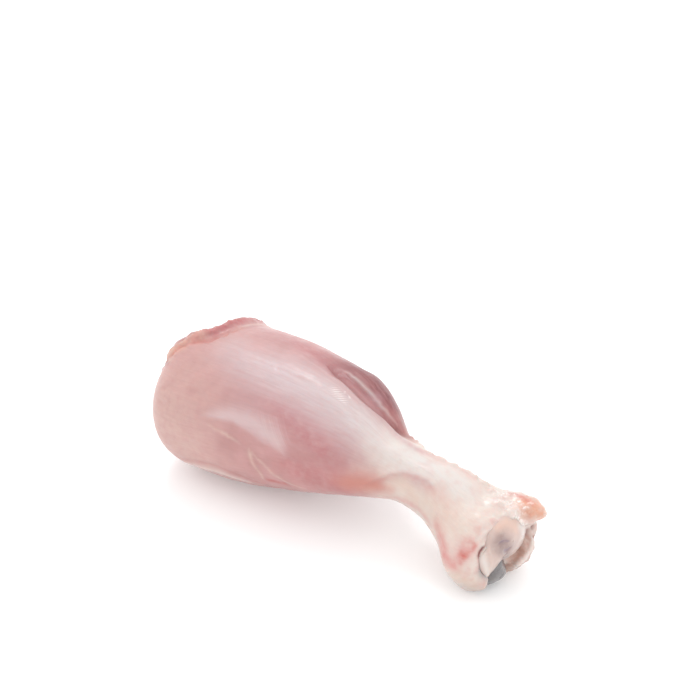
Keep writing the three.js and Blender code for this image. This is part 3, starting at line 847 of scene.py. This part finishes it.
FACET = [(124.1, -8.6, 17.0), (124.6, -8.7, 14.5), (124.9, -8.0, 11.6), (124.7, -7.1, 8.9)]
FACET_EDGE = [
    (124.3, -6.4, 18.2), (125.0, -6.7, 17.0), (126.0, -7.6, 15.2), (125.7, -7.4, 12.8),
    (124.9, -7.3, 9.8),
]
FACET_TIP = (124.6, -7.0, 8.7)
CRESCENTS = [
    [(125.6, -4.0, 18.5), (126.2, -2.2, 18.9), (126.9, 0.1, 17.7)],
    [(126.2, -2.9, 15.9), (126.7, -0.8, 15.2), (127.0, 1.2, 15.4)],
]
DOME_GREY = [(125.8, -3.2, 19.2), (126.5, -1.8, 17.2), (126.9, -0.4, 15.0), (126.5, -1.8, 12.8)]
DOME_LOW = [(125.8, -4.5, 12.5), (126.5, 0, 12.5)]
DOME_TOP = [(124.1, -2.0, 22.8), (125.2, 1.5, 22.2), (126.5, 3.8, 19.7)]
DOME_RIM = [(126.4, 5.6, 19.2), (126.7, 7.0, 16.4), (126.6, 6.8, 13.6), (126.0, 4.0, 10.8)]
UPPER_FAR_SIDE = np.array([0, 0.6, 0.8])
SLIT_MIDDLE = (123.6, -8.6, 18.2)
LAP_SHIFT = [0.5, 0, 0.2]
CAP_SWELL = 2.4

cap = Skin("gristle_cap", "cap", cell=0.3, rounds=14, swell=CAP_SWELL)
crescents = layered(*(cap.stroke(stations, 0.5, taper=0.8) for stations in CRESCENTS))
facet = cap.stroke(FACET, 1.5, taper=0.3)
joined = np.exp(-((cap.reach(meat)[1] / 1.6) ** 2)) * ramp(cap.place @ UPPER_FAR_SIDE, 7, 12)
cap.relief = 0.35 - CAP_SWELL + 0.12 * cap.noise(4.0, seed=11) - 0.25 * crescents
cap.relief += 0.25 * joined
cap.relief += 0.3 * cap.stroke(FACET_EDGE, 0.7, taper=0.5) + 0.6 * cap.spot(FACET_TIP, 1.2)
cap.tint("grey", 0.75 * cap.stroke(DOME_GREY, 3.0), 0.4 * cap.stroke(DOME_LOW, 2.0))
cap.tint("warm", 0.8 * cap.stroke(DOME_TOP, 2.4))
cap.tint("ivory", facet, 0.75 * cap.stroke(DOME_RIM, 1.5))
# Painted shade: the crescent grooves are painted dark lilac.
cap.tint("crease_shade", 0.75 * crescents)
cap.tint("flesh", 0.5 * joined)
cap.finish()

# Membrane laps over the cap's upper edge and lies close on the rest of it, apart from the slit.
onto, off_cap = meat.reach(cap)
held = np.exp(-(off_cap**2)) * (1 - meat.spot(SLIT_MIDDLE, 1.6)) * 0.8
lapped = np.exp(-(off_cap**2)) * ramp(meat.place @ UPPER_FAR_SIDE, 13, 16)
inwards = cap.place.mean(0) - meat.place
inwards /= np.linalg.norm(inwards, axis=1)[:, None]
lap = 0.7 * inwards + LAP_SHIFT
meat.move((onto - meat.place) * held[:, None] + lap * lapped[:, None])

IVORY = colour("#c7b3ab")
IVORY_DULL = colour("#bca59e")


def cap_material():
    material, tree, shader, place = start_material("gristle")
    clouds = grouped(tree, MOTTLE, {"Place": place, "Size": 4.0, "Contrast": 2.5})
    patches = grouped(tree, MOTTLE, {"Place": place, "Size": 1.8, "Contrast": 0.9, "Middle": 0.85})
    whole = 1.0
    tints = {
        "grey": (colour("#79605f"), patches),
        "warm": (colour("#d2b2a3"), patches),
        "ivory": (colour("#d0c6c0"), whole),
        "crease_shade": (colour("#857280"), patches),
        "flesh": (colour("#ccb6ad"), patches),
    }
    base = painted(tree, mixed(tree, clouds, IVORY, IVORY_DULL), tints)
    tree.links.new(base, shader.inputs["Base Color"])
    rough = grouped(tree, WET_FILM, {"Place": place, "Size": 3.0, "Contrast": 0.3, "Middle": 0.32})
    tree.links.new(rough, shader.inputs["Roughness"])
    grit = add_node(tree, "TexNoise", {"Vector": place, "Scale": 0.6, "Detail": 4.0}).outputs[0]
    bump = add_node(tree, "Bump", {"Height": grit, "Distance": 0.1 * MM, "Strength": 0.5})
    tree.links.new(bump.outputs[0], shader.inputs["Normal"])
    moisten(shader, 0.35, (1.0, 0.6, 0.45), 1.6)
    shader.inputs["Coat Weight"].default_value = 0.4
    return material


cap.piece.data.materials.append(cap_material())
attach(cap.piece, "root")
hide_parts("gristle_cap")

# ------------------------------------------------------------------------------------------------
# Table, light and camera
#
# The leg lies on a plain white table in an evenly lit white room. One softbox hangs behind and
# above it, and the camera looks down on it over the ankle end.

bpy.ops.mesh.primitive_plane_add(size=6)
table = bpy.context.object
table.name = "table"
white = bpy.data.materials.new("white table")
white.use_nodes = True
top = white.node_tree.nodes["Principled BSDF"]
top.inputs["Base Color"].default_value = (0.84, 0.84, 0.84, 1)
top.inputs["Emission Color"].default_value = (1, 1, 1, 1)
top.inputs["Emission Strength"].default_value = 0.17
top.inputs["Roughness"].default_value = 0.9
top.inputs["Specular IOR Level"].default_value = 0.0
table.data.materials.append(white)

world = bpy.data.worlds.new("white room")
world.use_nodes = True
world.node_tree.nodes["Background"].inputs["Color"].default_value = (1, 1, 1, 1)
world.node_tree.nodes["Background"].inputs["Strength"].default_value = 1.33
bpy.context.scene.world = world

SOFTBOX_PLACE = Vector((-0.35, 0.3, 0.9))
SOFTBOX_AIM = Vector((0, 0, 0.02))
softbox = bpy.data.lights.new("overhead softbox", "AREA")
softbox.shape = "RECTANGLE"
softbox.size = 0.3
softbox.size_y = 0.24
softbox.energy = 2.2
hung = bpy.data.objects.new("overhead softbox", softbox)
hung.location = SOFTBOX_PLACE
hung.rotation_euler = (SOFTBOX_AIM - SOFTBOX_PLACE).to_track_quat("-Z", "Y").to_euler()
bpy.context.scene.collection.objects.link(hung)

AZIMUTH = math.radians(38)
ELEVATION = math.radians(32)
CAMERA_PLACE = (0.26277, -0.33469, 0.32276)
level = math.cos(ELEVATION)
back = Vector((math.sin(AZIMUTH) * level, -math.cos(AZIMUTH) * level, math.sin(ELEVATION)))
lens = bpy.data.cameras.new("camera")
lens.lens = 90
lens.sensor_width = 36
lens.clip_start = 0.01
camera = bpy.data.objects.new("camera", lens)
camera.location = CAMERA_PLACE
camera.rotation_euler = (-back).to_track_quat("-Z", "Y").to_euler()
bpy.context.scene.collection.objects.link(camera)
bpy.context.scene.camera = camera
bpy.context.scene.view_settings.view_transform = "Standard"
